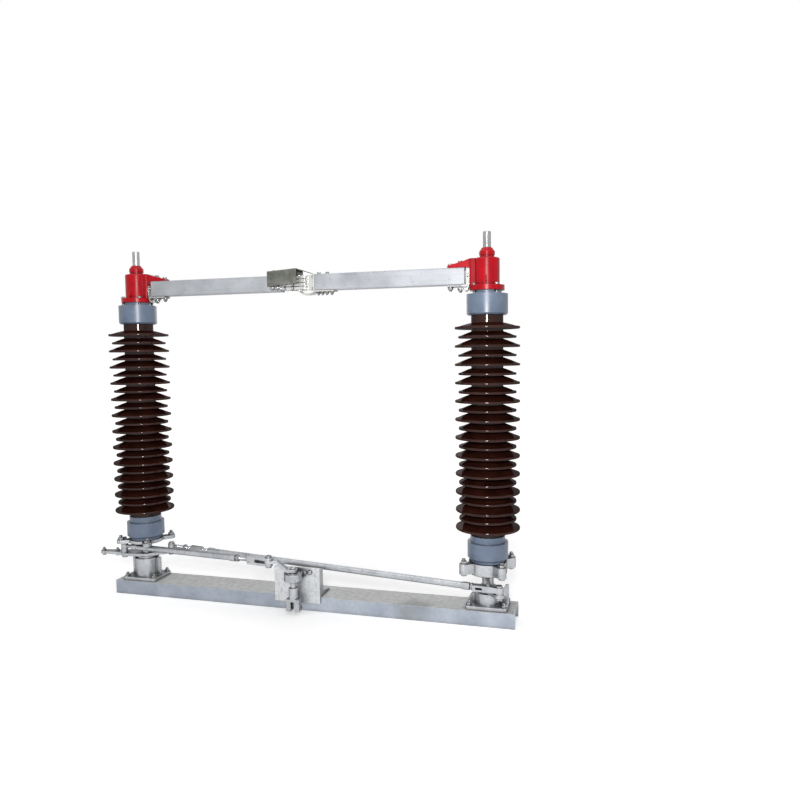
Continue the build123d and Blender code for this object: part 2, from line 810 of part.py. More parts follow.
def pivot_pin(x, y, low, high):
    """Headed pin with a nut under what it holds, from its low face to its high face."""
    pin = disc(pin_radius, high - low, low)
    pin += disc(pin_head_radius, pin_head_height, high)
    pin += disc(nut_radius, nut_height, low - nut_height)
    return Pos(x, y, 0) * pin


def drive_link_pin():
    """Pin of the drive lever, carried up to a ball with a nut on it."""
    x, y, _ = drive_left
    head_top = drive_eye_z + eye_half + pin_head_height
    pin = pivot_pin(x, y, left_lever_z, drive_eye_z + eye_half)
    pin += Pos(x, y, head_top + ball_stack / 2) * Sphere(ball_radius)
    return pin + Pos(x, y, 0) * disc(ball_nut_radius, nut_height, head_top + ball_stack)


def crank_pin():
    """Pin of the crank, through both tines of the fork."""
    x, y, z = drive_right
    return pivot_pin(x, y, z - fork_half, z + fork_half)


def cross_link_bolt():
    """Bolt of the cross link's right eye, ending flush with the underside of the eye."""
    bolt = disc(pin_radius, link_eye_thickness, right_eye_z - link_eye_thickness / 2)
    bolt += disc(pin_head_radius, pin_head_height, right_eye_z + link_eye_thickness / 2)
    return Pos(cross_right_x, cross_right_y, 0) * bolt


def cross_link_nut():
    """Nut and stub that close the bore of the right lever."""
    nut = disc(pin_radius, lever_boss_top, right_lever_z)
    nut += disc(nut_radius, nut_height, right_lever_z - nut_height)
    return Pos(cross_right_x, cross_right_y, 0) * nut


drive_left = (left_x + drive_lever_x, drive_lever_y, drive_eye_z)
drive_right = (drive_offset + drive_lever_x, drive_y + drive_lever_y, drive_fork_z)
cross_left = (cross_left_x, cross_left_y, left_eye_z)
cross_right = (cross_right_x, cross_right_y, right_eye_z)
fork_inset = fork_slot_depth + fork_back + fork_shank_length
eye_half = link_eye_thickness / 2
fork_half = crank_thickness / 2 + fork_tine + thrust_gap

right_seat = bearing_seat(right_seat_height, right_horn_reach, right_horn_rise, False)

nodes = {
    "base_channel": base_channel(),
    "left_bearing_seat": at_left(bearing_seat(left_seat_height, left_horn_reach, left_horn_rise, True)),
    "right_bearing_seat": Pos(right_x, 0, 0) * right_seat,
    "drive_bracket": drive_bracket(),
    "drive_bearing": drive_bearing(),
    "left_lever": at_left(left_lever()),
    "right_lever": Pos(right_x, 0, 0) * right_lever(),
    "left_turntable": at_left(turntable(left_drum_height, left_lug_thickness)),
    "right_turntable": Pos(right_x, 0, 0) * turntable(right_drum_height, right_lug_thickness),
    "left_arm": at_left(arm(left_arm_end)),
    "right_arm": at_right(arm(right_arm_end)),
    "contact_carrier": at_left(contact_carrier()),
    "contact_fingers_front": at_left(contact_fingers(-1)),
    "contact_fingers_back": at_left(contact_fingers(1)),
    "contact_hood": at_left(contact_hood()),
    "contact_head": at_right(contact_head()),
    "contact_guide": at_right(contact_guide()),
    "drive_shaft": drive_shaft(),
    "drive_crank": drive_crank(),
    "drive_coupling": drive_coupling(),
    "drive_link_eye": link_eye(drive_left, drive_right, link_shank_length),
    "drive_link_tube": link_tube(drive_left, drive_right, link_shank_length, fork_inset),
    "drive_link_fork": drive_fork(drive_right, drive_left),
    "cross_link_left_eye": link_eye(cross_left, cross_right, cross_shank_length),
    "cross_link_tube": link_tube(cross_left, cross_right, cross_shank_length, block_end + block_shank_length),
    "cross_link_right_eye": block_eye(cross_right, cross_left),
    "drive_link_pin": drive_link_pin(),
    "crank_pin": crank_pin(),
    "cross_link_pin": pivot_pin(cross_left_x, cross_left_y, left_lever_z, left_eye_z + eye_half),
    "cross_link_bolt": cross_link_bolt(),
    "cross_link_nut": cross_link_nut(),
}

# Pieces that both columns have alike
paired = {
    "spindle": spindle(),
    "lower_cap": lower_cap(),
    "porcelain": porcelain(),
    "upper_cap": upper_cap(),
    "terminal_housing": terminal_housing(),
    "terminal_stud": terminal_stud(),
    "arm_clamp": arm_clamp(),
}
for name, shape in paired.items():
    nodes["left_" + name] = at_left(shape)
    nodes["right_" + name] = at_right(shape)

os.makedirs("parts", exist_ok=True)
for name, shape in nodes.items():
    export_step(shape, f"parts/{name}.step")
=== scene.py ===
import json
from math import cos, pi, radians, sin

import bmesh
import bpy
from mathutils import Matrix, Vector


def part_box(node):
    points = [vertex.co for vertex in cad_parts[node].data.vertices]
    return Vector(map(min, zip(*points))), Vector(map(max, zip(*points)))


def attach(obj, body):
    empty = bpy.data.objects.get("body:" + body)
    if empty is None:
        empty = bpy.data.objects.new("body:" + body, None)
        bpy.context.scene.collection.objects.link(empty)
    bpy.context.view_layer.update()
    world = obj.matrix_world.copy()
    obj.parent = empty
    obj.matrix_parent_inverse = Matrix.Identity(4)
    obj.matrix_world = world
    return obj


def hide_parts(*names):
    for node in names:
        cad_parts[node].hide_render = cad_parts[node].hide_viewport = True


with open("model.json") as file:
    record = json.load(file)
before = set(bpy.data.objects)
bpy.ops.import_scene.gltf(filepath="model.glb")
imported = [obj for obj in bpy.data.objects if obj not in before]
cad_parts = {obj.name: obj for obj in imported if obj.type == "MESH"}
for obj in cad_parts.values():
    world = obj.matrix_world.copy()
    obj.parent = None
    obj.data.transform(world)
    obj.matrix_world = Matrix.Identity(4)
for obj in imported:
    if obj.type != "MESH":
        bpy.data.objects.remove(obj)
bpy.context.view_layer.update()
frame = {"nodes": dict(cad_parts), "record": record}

# All lengths are in metres and all angles in degrees unless a name says otherwise.

# Camera, from the vanishing lines of the photograph
camera_place = (1.0947, -2.5363, 1.0265)
camera_yaw = 15.042
camera_pitch = 3.84
camera_roll = 0.666
camera_lens = 30.29
camera_sensor = 36.0

# Lamps and surroundings
ambient_strength = 0.23
key_place = (1.02, -2.75, 1.42)
key_target = (-0.10, 0.0, 0.95)
key_size = 0.40
key_power = 66.0
top_place = (0.0, -0.5, 3.2)
top_target = (0.0, 0.0, 0.0)
top_size = 2.6
top_power = 22.0
back_place = (-0.8, 3.0, 1.9)
back_target = (0.0, 0.0, 0.8)
back_size = 2.2
back_power = 20.0
floor_half = 40.0
floor_near = 0.1
floor_far = 4.5
floor_near_glow = 0.26
floor_far_glow = 0.92
floor_albedo = (0.80, 0.80, 0.80, 1.0)
floor_roughness = 0.9
floor_specular = 0.1
white_strength = 1.0
white_colour = (1.0, 1.0, 1.0, 1.0)

# Turns in degrees, and the corners of a square of side two
half_turn = 180
full_turn = 360
square_corners = ((-1, -1), (1, -1), (1, 1), (-1, 1))

# Fasteners: across-corner radius and height of the head, and radius of the thread
bolt_radius = 0.0105
bolt_height = 0.0080
bolt_thread = 0.0060
washer_radius = 0.0135
washer_height = 0.0022
chamfer_share = 0.84
washer_edge_share = 0.33
hex_sides = 6
round_sides = 24
thread_pitch = 0.0028
thread_depth = 0.0010
thread_end = 0.0070
sharp_angle = 32.0

# Porcelain lathe
lathe_sides = 96
shed_count = 12
shed_low_margin = 0.030
shed_high_margin = 0.047
shed_radius = 0.122
shed_rise = 0.027
small_shed_radius = 0.109
small_shed_rise = 0.021
top_shed_rise = 0.019
shed_edge = 0.0088
rim_share = 0.42
shed_undercut = 0.006
shed_core = 0.060
core_round = 0.007
core_round_share = 0.3
core_fit = 0.0015
drip_width = 0.004
drip_depth = 0.0020
shed_belly_shares = (0.55, 0.45)
shed_top_shares = ((0.86, 0.22), (0.72, 0.36), (0.56, 0.52), (0.40, 0.67), (0.26, 0.79), (0.13, 0.90))
rim_turns = (-70, -35, 0, 35, 70)

# Turntable lugs and housing flanges
lug_circle = 0.104
lug_angle = 37.0
lug_count = 4
lug_size = 1.2
lug_depth = 0.038
lug_nut_height = 0.0075
flange_circle = 0.0575
flange_angle = 44.0
flange_count = 4
flange_height = 0.019
flange_size = 0.72
ring_height = 0.013

# Seats and stop arm
seat_bolt_x = 0.066
seat_bolt_y = 0.047
seat_bolt_size = 1.0
seat_plate = 0.014
web_depth = 0.007
lever_thickness = 0.012
stop_angle = 186.0
stop_reaches = (0.205, 0.140)
stop_size = 0.85

# Beak bolts through arm and clamp plate
beak_bolt_reaches = (0.100, 0.138)
beak_knee = 0.090
beak_tip = 0.147
beak_knee_height = 0.022
beak_tip_height = 0.008
beak_sink = 0.0030
beak_size = 0.95
beak_thread = 0.006

# Laminated strap from housing block to clamp plate, as reaches and heights from the arm's underside
strap_layers = 3
strap_sheet = 0.0013
strap_pitch = 0.0018
strap_width = 0.030
strap_steps = 6
strap_reaches = (0.0660, 0.0660, 0.0684, 0.0698, 0.0740, 0.0810, 0.0880, 0.0940, 0.1000, 0.1100)
strap_heights = (0.0460, 0.0120, -0.0015, -0.0100, -0.0185, -0.0220, -0.0185, -0.0120, -0.0097, -0.0097)
strap_screw_height = 0.036
strap_screw_size = 0.60

# Centre contact: screws, springs and bolts
finger_count = 4
finger_pitch = 0.0145
finger_face = 0.022
finger_screw_x = -0.054
finger_screw_size = 0.42
spring_x = -0.020
spring_radius = 0.0042
spring_wire = 0.0008
spring_length = 0.0062
spring_turns = 4
spring_steps = 14
wire_sides = 8
spring_nut = 0.0046
spring_nut_height = 0.0030
arm_screw_places = ((-0.110, 0.016), (-0.088, 0.016), (-0.110, 0.049), (-0.088, 0.049))
arm_screw_size = 0.80
head_bolt_y = 0.0145
head_bolt_z = 0.024
head_bolt_size = 0.50
head_flange = 0.006
guide_sheet = 0.005
guide_bolts = (0.082, 0.099, 0.118, 0.139)
guide_bolt_size = 0.78
arm_top_bolts = (0.084, 0.120)
hood_screw_back = 0.018
hood_screw_y = 0.009
hood_screw_size = 0.55
hood_fall = 0.008
hood_slope = 0.0635

# Drive bracket, bearing, shaft and coupling
bracket_bolts = ((0.0295, 0.1610), (0.0520, 0.1615))
bracket_bolt_size = 0.85
collar_outline = ((0.0205, 0.0), (0.0310, 0.0), (0.0310, 0.0012), (0.0295, 0.0026), (0.0205, 0.0026))
dome_outline = ((0, 0), (0.0125, 0), (0.0125, 0.0022), (0.0105, 0.0048), (0.0064, 0.0068), (0, 0.0076))
bush_outline = ((0.0053, 0.0), (0.0098, 0.0), (0.0098, 0.0020), (0.0086, 0.0032), (0.0053, 0.0032))
bush_reach = 0.028
bush_height = 0.034

# Fittings of the two rods, as distances from the pivot of their end
shank_thread = 0.0087
cross_thread = (0.034, 0.200)
cross_nut = (0.068, 0.080)
cross_sleeve = (0.106, 0.166)
cross_lock = (0.100, 0.108)
cross_nut_radius = 0.0145
cross_sleeve_radius = 0.0150
cross_block_bolt = 0.042
cross_block_top = 0.0110
cross_block_size = 0.85
drive_thread = (0.092, 0.157)
drive_nuts = ((0.0925, 0.1015), (0.141, 0.153))
drive_nut_radius = 0.0140

# Finishes: reach of the painted shade from corners, and width of worn edges, or on the arm the width of
# its painted edge shade
beam_shade_reach = 0.020
beam_wear = 0.0022
zinc_shade_reach = 0.028
zinc_wear = 0.0016
steel_shade_reach = 0.009
cap_shade_reach = 0.005
cap_wear = 0.003
glaze_wear = 0.0035
housing_shade_reach = 0.018
housing_wear = 0.0022
arm_shade_reach = 0.010
arm_edge_shade_width = 0.005
contact_shade_reach = 0.009
hood_wear = 0.0018

# Relief of the finishes: depth, rounding of the edges, and strength
beam_relief = (0.0006, 0.0012, 0.12)
zinc_relief = (0.0008, 0.0016, 0.14)
steel_relief = (0.0004, 0.0006, 0.08)
cap_relief = (0.0006, 0.0012, 0.06)
glaze_relief = (0.0012, 0.0004, 0.05)
housing_relief = (0.0009, 0.0020, 0.12)
arm_relief = (0.0006, 0.0014, 0.12)
contact_relief = (0.0004, 0.0008, 0.08)
hood_relief = (0.0006, 0.0012, 0.10)

# Patterns of the finishes: waves per metre and fineness, and how they shrink along X, Y and Z
beam_cells = 75.0
beam_cloud = (11.0, 6.0)
beam_broad = (1.7, 3.0)
beam_dust_and_top_light = (55.0, 8.0)
beam_stain = (3.2, 8.0, (1, 1, 0.6))
beam_grit = (420.0, 2.0)
zinc_cells = 120.0
zinc_cloud = (16.0, 6.0)
zinc_stain = (60.0, 7.0)
zinc_grit = (300.0, 3.0)
steel_cloud = (45.0, 4.0)
steel_scratch = (60.0, 2.0, (14, 14, 1))
cap_cloud = (14.0, 5.0)
cap_dust = (90.0, 6.0)
cap_grit = (260.0, 2.0)
glaze_cloud = (18.0, 5.0)
glaze_wave = (55.0, 1.0)
glaze_specks = (520.0, 3.0)
housing_cloud = (22.0, 5.0)
housing_streak = (34.0, 3.0, (1, 1, 0.08))
housing_dust = (130.0, 6.0)
housing_grit = (230.0, 3.0)
arm_lines = (9.0, 4.0, (0.25, 26, 26))
arm_cloud = (10.0, 6.0)
arm_marks = (48.0, 7.0)
contact_cloud = (30.0, 5.0)
contact_fine = (300.0, 2.0, (1, 6, 6))
hood_cloud = (24.0, 6.0)
hood_chalk = (85.0, 7.0, (1, 1, 0.4))
hood_grit = (340.0, 2.0)

# Shares of one colour in another, and levels of the patterns between which colours and masks run
beam_patch_share = 0.70
beam_run_share = 0.35
zinc_patch_share = 0.5
casting_pale_share = 0.0
bracket_pale_share = 0.7
steel_dull_share = 0.40
housing_run_share = 0.40
arm_oxide_share = 0.5
full_levels = (0.0, 1.0)
usual_levels = (0.3, 0.7)
upward_levels = (0.45, 0.95)
edge_levels = (0.80, 0.985)
hollow_levels = (0.35, 0.85)
beam_patch_levels = (0.36, 0.64)
beam_run_levels = (0.38, 0.62)
beam_dust_and_top_light_levels = (0.34, 0.66)
beam_stain_levels = (0.62, 0.80)
zinc_patch_levels = (0.36, 0.66)
zinc_stain_levels = (0.62, 0.76)
cap_levels = (0.32, 0.68)
cap_dust_levels = (0.62, 0.80)
glaze_levels = (0.30, 0.72)
glaze_speck_levels = (0.70, 0.80)
housing_run_levels = (0.36, 0.64)
housing_dust_levels = (0.66, 0.84)
arm_oxide_levels = (0.34, 0.66)
arm_mark_levels = (0.61, 0.73)
contact_tarnish_levels = (0.56, 0.74)
hood_levels = (0.34, 0.66)
hood_chalk_levels = (0.58, 0.74)

# Roughness of the finishes, from smooth patches to rough ones
beam_roughness = (0.38, 0.56)
beam_dust_roughness = (0.80, 0.94)
zinc_roughness = (0.26, 0.42)
steel_roughness = (0.18, 0.32)
cap_roughness = (0.31, 0.39)
glaze_roughness = (0.35, 0.50)
housing_roughness = (0.24, 0.34)
arm_roughness = (0.38, 0.54)
contact_roughness = (0.20, 0.34)
hood_roughness = (0.42, 0.58)

# Rays for each mask, and places of the colour sockets on a mix node
edge_samples = 4
hollow_samples = 6
mix_inputs = (6, 7)
mix_output = 2


def node_centre(name):
    """Middle of a solid's box."""
    low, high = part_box(name)
    return (low + high) / 2


def pivot(name):
    """Place of a joint's axis."""
    for joint in frame["record"]["behaviour"]["joints"]:
        if joint["name"] == name:
            return Vector(joint["pos_m"])


left_axis = node_centre("left_spindle")
right_axis = node_centre("right_spindle")
beam_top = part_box("base_channel")[1].z
lug_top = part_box("left_turntable")[1].z
lower_cap_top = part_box("left_lower_cap")[1].z
porcelain_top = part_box("left_upper_cap")[0].z
flange_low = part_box("left_terminal_housing")[0].z
flange_top = flange_low + flange_height
arm_low, arm_high = (corner.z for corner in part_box("left_arm"))
arm_middle = (arm_low + arm_high) / 2
arm_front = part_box("left_arm")[0].y
clamp_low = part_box("left_arm_clamp")[0].z
lever_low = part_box("left_lever")[0].z


def spin_about(axis, angle):
    """Turn about an upright axis at a place."""
    return Matrix.Translation((axis.x, axis.y, 0)) @ Matrix.Rotation(radians(angle), 4, "Z")


def at(x, y, z):
    """Upright place at a point."""
    return Matrix.Translation((x, y, z))


def raised(place, height):
    """Place moved along its own Z axis."""
    return place @ Matrix.Translation((0, 0, height))


def flipped(place):
    """Place turned to face the other way along its Z axis."""
    return place @ Matrix.Rotation(pi, 4, "X")


def facing(place, side):
    """Place whose Z axis lies along its Y axis, towards one side of it."""
    return place @ Matrix.Rotation(-side * pi / 2, 4, "X")


def endways(place, side):
    """Place whose Z axis lies along its X axis, towards one end of it."""
    return place @ Matrix.Rotation(side * pi / 2, 4, "Y")


def along(start, end, distance):
    """Place on the line between two points whose Z axis runs along the line."""
    line = end - start
    turn = line.to_track_quat("Z", "Y").to_matrix().to_4x4()
    return Matrix.Translation(start + line.normalized() * distance) @ turn


def skin(mesh, rings, closed):
    """Faces between rings of points, each joined to the next one, and round to the first if closed."""
    pairs = list(zip(rings, rings[1:]))
    if closed:
        pairs.append((rings[-1], rings[0]))
    for low, high in pairs:
        count = max(len(low), len(high))
        for index in range(count):
            after = (index + 1) % count
            corners = [low[index % len(low)], low[after % len(low)]]
            corners += [high[after % len(high)], high[index % len(high)]]
            corners = list(dict.fromkeys(corners))
            if len(corners) > 2:
                mesh.faces.new(corners)


def lathe(mesh, outline, sides, place, closed=False):
    """Surface of revolution about the place's Z axis through (radius, height) points."""
    rings = []
    for radius, height in outline:
        ring = []
        for index in range(sides if radius > 0 else 1):
            angle = 2 * pi * index / sides
            ring.append(mesh.verts.new(place @ Vector((radius * cos(angle), radius * sin(angle), height))))
        rings.append(ring)
    skin(mesh, rings, closed)


def hexagon(mesh, radius, height, place):
    """Hexagon head or nut, chamfered at both ends."""
    inner = radius * chamfer_share
    bevel = (radius - inner) / 2
    outline = [(0, 0), (inner, 0), (radius, bevel), (radius, height - bevel), (inner, height), (0, height)]
    lathe(mesh, outline, hex_sides, place)


def washer(mesh, radius, height, place):
    """Round washer with a broken edge."""
    edge = height * washer_edge_share
    outline = [(0, 0), (radius, 0), (radius, height - edge), (radius - edge, height), (0, height)]
    lathe(mesh, outline, round_sides, place)


def thread(mesh, radius, length, place):
    """Threaded rod."""
    turns = max(2, round(length / thread_pitch))
    half = length / turns / 2
    outline = [(0, 0)]
    for turn in range(turns):
        outline += [(radius - thread_depth, 2 * turn * half), (radius, (2 * turn + 1) * half)]
    outline += [(radius - thread_depth, length), (0, length)]
    lathe(mesh, outline, round_sides, place)


def bolt(mesh, place, size):
    """Hexagon head on a washer."""
    washer(mesh, washer_radius * size, washer_height * size, place)
    hexagon(mesh, bolt_radius * size, bolt_height * size, raised(place, washer_height * size))


def stud_nut(mesh, place, size, end=thread_end):
    """Nut on a washer with the thread standing out of it."""
    bolt(mesh, place, size)
    thread(mesh, bolt_thread * size, end * size, raised(place, (washer_height + bolt_height) * size))


def coil(mesh, radius, wire, turns, length, place):
    """Coil spring about the place's Z axis."""
    rings = []
    count = turns * spring_steps
    for step in range(count + 1):
        angle = 2 * pi * step / spring_steps
        outward = Vector((cos(angle), sin(angle), 0))
        centre = outward * radius + Vector((0, 0, wire + (length - 2 * wire) * step / count))
        ring = []
        for index in range(wire_sides):
            turn = 2 * pi * index / wire_sides
            spoke = outward * cos(turn) + Vector((0, 0, sin(turn)))
            ring.append(mesh.verts.new(place @ (centre + wire * spoke)))
        rings.append(ring)
    skin(mesh, rings, False)
    mesh.faces.new(rings[0])
    mesh.faces.new(rings[-1])


def smooth(points, steps):
    """Points of a smooth line that passes through the given points."""
    line = []
    for index in range(len(points) - 1):
        before = points[max(index - 1, 0)]
        start, end = points[index], points[index + 1]
        after = points[min(index + 2, len(points) - 1)]
        for step in range(steps):
            share = step / steps
            bend = start * 2 + (end - before) * share
            bend += (before * 2 - start * 5 + end * 4 - after) * share ** 2
            bend += (start * 3 - before - end * 3 + after) * share ** 3
            line.append(bend / 2)
    return line + [points[-1]]


def ribbon(mesh, line, shift, width, thickness, place):
    """Flat strip along a line in the place's XZ plane, shifted off the line by a distance."""
    rings = []
    for index, point in enumerate(line):
        run = line[min(index + 1, len(line) - 1)] - line[max(index - 1, 0)]
        normal = Vector((-run.z, 0, run.x)).normalized()
        ring = []
        for y, depth in square_corners:
            offset = normal * (shift + depth * thickness / 2) + Vector((0, y * width / 2, 0))
            ring.append(mesh.verts.new(place @ (point + offset)))
        rings.append(ring)
    skin(mesh, rings, False)
    mesh.faces.new(rings[0])
    mesh.faces.new(rings[-1])


def finish_piece(mesh, name, body, slot, nodes=()):
    """Object from a mesh, shaded smooth up to the sharp angle, that rides on a body."""
    bmesh.ops.recalc_face_normals(mesh, faces=mesh.faces)
    for face in mesh.faces:
        face.smooth = True
    for edge in mesh.edges:
        edge.smooth = edge.calc_face_angle(0) < radians(sharp_angle)
    data = bpy.data.meshes.new(name)
    mesh.to_mesh(data)
    mesh.free()
    data.materials.append(materials[slot])
    obj = bpy.data.objects.new(name, data)
    bpy.context.scene.collection.objects.link(obj)
    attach(obj, body)
    if nodes:
        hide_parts(*nodes)


class Paint:
    """One node material under construction."""

    def __init__(self, name):
        self.material = bpy.data.materials.new(name)
        self.material.use_nodes = True
        self.tree = self.material.node_tree
        self.shader = self.tree.nodes["Principled BSDF"]
        self.place = self.tree.nodes.new("ShaderNodeTexCoord").outputs["Object"]

    def add(self, kind, **settings):
        """New node with its settings."""
        node = self.tree.nodes.new(kind)
        for key, value in settings.items():
            setattr(node, key, value)
        return node

    def join(self, source, target):
        """Link from an output to an input."""
        self.tree.links.new(source, target)

    def stretched(self, scale):
        """Object coordinates scaled along each axis."""
        mapping = self.add("ShaderNodeMapping")
        mapping.inputs["Scale"].default_value = scale
        self.join(self.place, mapping.inputs["Vector"])
        return mapping.outputs["Vector"]

    def noise(self, scale, detail, stretch=(1, 1, 1)):
        """Cloudy grey pattern."""
        node = self.add("ShaderNodeTexNoise")
        node.inputs["Scale"].default_value = scale
        node.inputs["Detail"].default_value = detail
        self.join(self.stretched(stretch), node.inputs["Vector"])
        return node.outputs["Fac"]

    def cells(self, scale):
        """Pattern of flat cells, each with its own grey."""
        node = self.add("ShaderNodeTexVoronoi")
        node.inputs["Scale"].default_value = scale
        self.join(self.place, node.inputs["Vector"])
        split = self.add("ShaderNodeSeparateColor")
        self.join(node.outputs["Color"], split.inputs["Color"])
        return split.outputs["Red"]

    def upward(self):
        """Mask of the faces that look up, where dust settles and the beam's top is painted lighter."""
        split = self.add("ShaderNodeSeparateXYZ")
        self.join(self.add("ShaderNodeNewGeometry").outputs["Normal"], split.inputs["Vector"])
        return self.mask(split.outputs["Z"], *upward_levels)

    def ramp(self, source, low, high, low_colour, high_colour):
        """Colour that runs between two colours as the source runs between two levels."""
        node = self.add("ShaderNodeValToRGB")
        node.color_ramp.elements[0].position = low
        node.color_ramp.elements[0].color = (*low_colour, 1)
        node.color_ramp.elements[1].position = high
        node.color_ramp.elements[1].color = (*high_colour, 1)
        self.join(source, node.inputs["Fac"])
        return node.outputs["Color"]

    def span(self, source, low, high):
        """Number that runs from low to high over the source's usual range."""
        node = self.add("ShaderNodeMapRange")
        node.inputs["From Min"].default_value, node.inputs["From Max"].default_value = usual_levels
        node.inputs["To Min"].default_value = low
        node.inputs["To Max"].default_value = high
        self.join(source, node.inputs["Value"])
        return node.outputs["Result"]

    def blend(self, amount, first, second):
        """Mix of two colours by an amount of the second, which is a number or an output."""
        node = self.add("ShaderNodeMix", data_type="RGBA")
        if isinstance(amount, float):
            node.inputs[0].default_value = amount
        else:
            self.join(amount, node.inputs[0])
        for source, socket in zip((first, second), mix_inputs):
            self.join(source, node.inputs[socket])
        return node.outputs[mix_output]

    def mask(self, source, low, high):
        """Grey mask that rises between two levels of the source."""
        return self.ramp(source, low, high, (0, 0, 0), (1, 1, 1))

    def edges(self, radius):
        """Mask of the edges: where the rounded normal leaves the flat one."""
        bevel = self.add("ShaderNodeBevel", samples=edge_samples)
        bevel.inputs["Radius"].default_value = radius
        flat = self.add("ShaderNodeNewGeometry")
        dot = self.add("ShaderNodeVectorMath", operation="DOT_PRODUCT")
        self.join(bevel.outputs["Normal"], dot.inputs[0])
        self.join(flat.outputs["Normal"], dot.inputs[1])
        return self.ramp(dot.outputs["Value"], *edge_levels, (1, 1, 1), (0, 0, 0))

    def hollows(self, reach):
        """Mask of the corners and gaps, where the finishes paint shade."""
        node = self.add("ShaderNodeAmbientOcclusion", samples=hollow_samples)
        node.inputs["Distance"].default_value = reach
        return self.ramp(node.outputs["AO"], *hollow_levels, (1, 1, 1), (0, 0, 0))

    def relief(self, height, distance, radius, strength):
        """Bump over edges that are rounded a little."""
        bevel = self.add("ShaderNodeBevel", samples=edge_samples)
        bevel.inputs["Radius"].default_value = radius
        bump = self.add("ShaderNodeBump")
        bump.inputs["Strength"].default_value = strength
        bump.inputs["Distance"].default_value = distance
        self.join(height, bump.inputs["Height"])
        self.join(bevel.outputs["Normal"], bump.inputs["Normal"])
        self.join(bump.outputs["Normal"], self.shader.inputs["Normal"])

    def settle(self, colour, roughness, **constants):
        """Connects colour and roughness and sets the shader's own numbers."""
        self.join(colour, self.shader.inputs["Base Color"])
        self.join(roughness, self.shader.inputs["Roughness"])
        for key, value in constants.items():
            self.shader.inputs[key.replace("_", " ")].default_value = value
        return self.material


def galvanised_steel():
    """Dull zinc on the beam: flat spangles, cloudy patches, pale dust with painted top light on the upward
    faces, painted shade in the corners and brighter worn edges.
    """
    paint = Paint("galvanised_steel")
    spangle = paint.cells(beam_cells)
    cloud = paint.noise(*beam_cloud)
    broad = paint.noise(*beam_broad)
    colour = paint.ramp(spangle, *full_levels, (0.24, 0.280, 0.345), (0.45, 0.495, 0.570))
    patches = paint.ramp(cloud, *beam_patch_levels, (0.26, 0.300, 0.365), (0.50, 0.540, 0.610))
    colour = paint.blend(beam_patch_share, colour, patches)
    runs = paint.ramp(broad, *beam_run_levels, (0.25, 0.290, 0.350), (0.49, 0.535, 0.610))
    colour = paint.blend(beam_run_share, colour, runs)
    # Dust on the upward faces, pale enough to stand for painted top light as well
    dust = paint.ramp(paint.noise(*beam_dust_and_top_light), *beam_dust_and_top_light_levels, (0.48, 0.485, 0.48), (0.60, 0.605, 0.60))
    colour = paint.blend(paint.upward(), colour, dust)
    stain = paint.mask(paint.noise(*beam_stain), *beam_stain_levels)
    grime = paint.ramp(cloud, *usual_levels, (0.19, 0.195, 0.20), (0.28, 0.285, 0.29))
    colour = paint.blend(stain, colour, grime)
    # Painted shade in the corners, in the grime colour
    colour = paint.blend(paint.hollows(beam_shade_reach), colour, grime)
    worn = paint.ramp(spangle, *full_levels, (0.54, 0.56, 0.58), (0.68, 0.70, 0.72))
    colour = paint.blend(paint.edges(beam_wear), colour, worn)
    paint.relief(paint.noise(*beam_grit), *beam_relief)
    clean = paint.span(cloud, *beam_roughness)
    dusty = paint.span(cloud, *beam_dust_roughness)
    roughness = paint.blend(paint.upward(), clean, dusty)
    return paint.settle(colour, roughness, Metallic=0.30)


def bright_zinc(name, pale_share):
    """Bright zinc, paler by a share, with painted shade in the corners and rubbed edges."""
    paint = Paint(name)
    spangle = paint.cells(zinc_cells)
    cloud = paint.noise(*zinc_cloud)
    colour = paint.ramp(spangle, *full_levels, (0.40, 0.415, 0.44), (0.54, 0.555, 0.58))
    patches = paint.ramp(cloud, *zinc_patch_levels, (0.33, 0.345, 0.37), (0.58, 0.59, 0.61))
    colour = paint.blend(zinc_patch_share, colour, patches)
    pale = paint.ramp(spangle, *full_levels, (0.60, 0.615, 0.63), (0.76, 0.775, 0.79))
    colour = paint.blend(pale_share, colour, pale)
    stain = paint.mask(paint.noise(*zinc_stain), *zinc_stain_levels)
    grime = paint.ramp(cloud, *usual_levels, (0.20, 0.20, 0.195), (0.30, 0.30, 0.295))
    colour = paint.blend(stain, colour, grime)
    # Painted shade in the corners
    dark = paint.ramp(cloud, *usual_levels, (0.06, 0.06, 0.058), (0.12, 0.12, 0.116))
    colour = paint.blend(paint.hollows(zinc_shade_reach), colour, dark)
    worn = paint.ramp(spangle, *full_levels, (0.66, 0.67, 0.68), (0.80, 0.81, 0.82))
    colour = paint.blend(paint.edges(zinc_wear), colour, worn)
    paint.relief(paint.noise(*zinc_grit), *zinc_relief)
    edge_tint = (0.10, 0.10, 0.11, 1)
    roughness = paint.span(cloud, *zinc_roughness)
    return paint.settle(colour, roughness, Metallic=0.78, Specular_Tint=edge_tint)


def cast_zinc():
    """Zinc on castings, levers and rods."""
    return bright_zinc("cast_zinc", casting_pale_share)


def plate_zinc():
    """Paler zinc on the bracket."""
    return bright_zinc("plate_zinc", bracket_pale_share)


def bright_steel():
    """Zinc-plated steel with fine scratches and painted shade in the corners."""
    paint = Paint("bright_steel")
    cloud = paint.noise(*steel_cloud)
    scratch = paint.noise(*steel_scratch)
    colour = paint.ramp(cloud, *usual_levels, (0.32, 0.33, 0.34), (0.50, 0.51, 0.52))
    dull = paint.ramp(scratch, *usual_levels, (0.20, 0.20, 0.20), (0.46, 0.46, 0.47))
    colour = paint.blend(steel_dull_share, colour, dull)
    # Painted shade in the corners
    dark = paint.ramp(scratch, *usual_levels, (0.05, 0.048, 0.044), (0.10, 0.096, 0.088))
    colour = paint.blend(paint.hollows(steel_shade_reach), colour, dark)
    paint.relief(scratch, *steel_relief)
    edge_tint = (0.08, 0.08, 0.09, 1)
    roughness = paint.span(cloud, *steel_roughness)
    return paint.settle(colour, roughness, Metallic=0.85, Specular_Tint=edge_tint)


